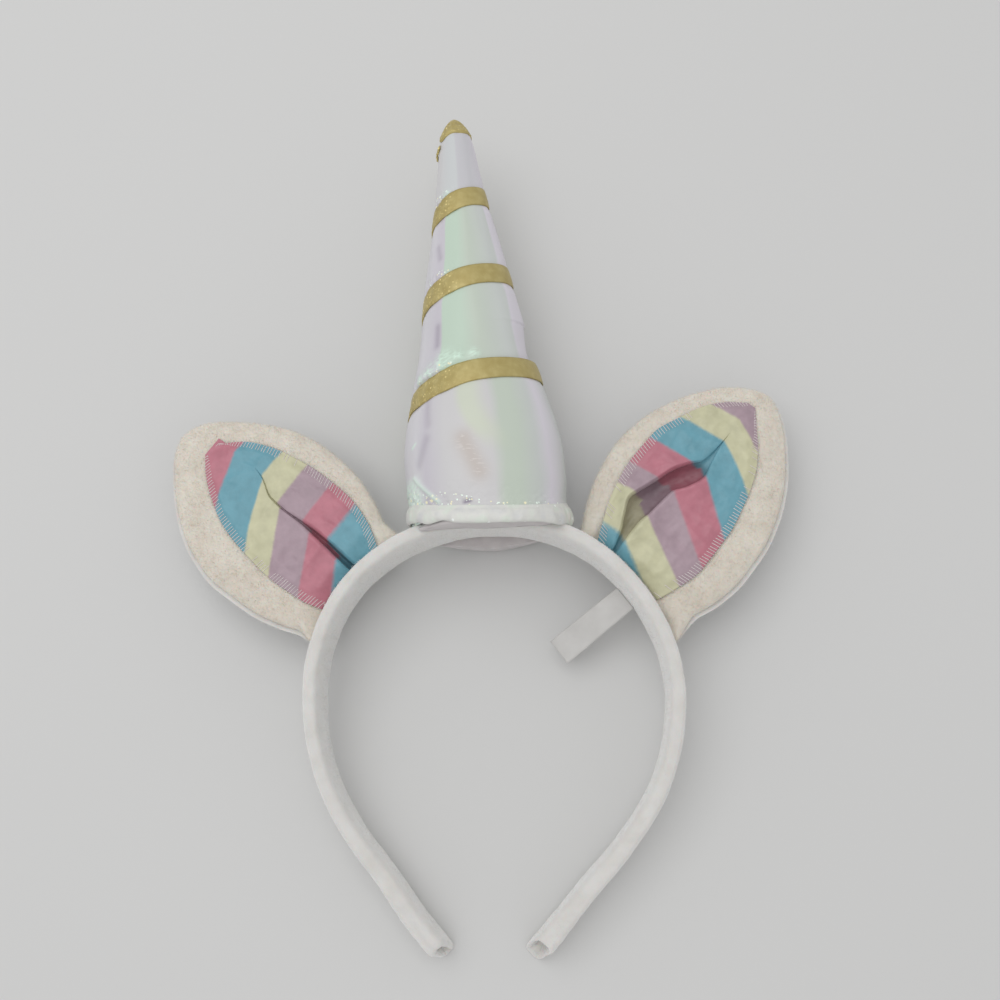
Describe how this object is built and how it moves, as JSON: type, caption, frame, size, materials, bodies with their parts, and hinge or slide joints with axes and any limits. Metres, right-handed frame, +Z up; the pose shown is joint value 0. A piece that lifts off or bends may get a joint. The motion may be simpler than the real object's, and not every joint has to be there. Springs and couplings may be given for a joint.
{
  "type": "unicorn horn headband",
  "caption": "Costume headband: a fleece-covered hoop with a stuffed pearly horn wound with gold ribbon, and plush ears with striped satin.",
  "frame": {"origin": "on the table, under the middle of the whole headband's box", "axes": "+Z up from the table, +Y along the horn from the leg tips to the tip of the horn, +X to the side of the upright ear"},
  "size_m": [0.2174, 0.293, 0.0535],
  "materials": {
    "band_fleece": "short white fleece sleeve over a plastic hoop",
    "base_fleece": "padded white hem with a pearly film finish",
    "pearl_film": "crinkled iridescent film cloth, satin gloss",
    "gold_ribbon": "woven metallic ribbon, muted gold",
    "gold_wrap": "crinkled metallic cloth, muted gold",
    "cream_plush": "short cream plush",
    "white_plush": "short white plush",
    "striped_satin": "satin with wide soft stripes in pink, lilac, blue and pale yellow",
    "white_tape": "plain white satin tape"
  },
  "bodies": {
    "root": {"band": "band_fleece", "horn": "pearl_film", "horn_ribbon": "gold_ribbon", "horn_tip_cap": "gold_wrap", "horn_base": "base_fleece", "ear_left_back": "white_plush", "ear_left_front": "cream_plush", "ear_left_patch": "striped_satin", "ear_right_back": "white_plush", "ear_right_front": "cream_plush", "ear_right_patch": "striped_satin", "label": "white_tape"}
  },
  "joints": []
}
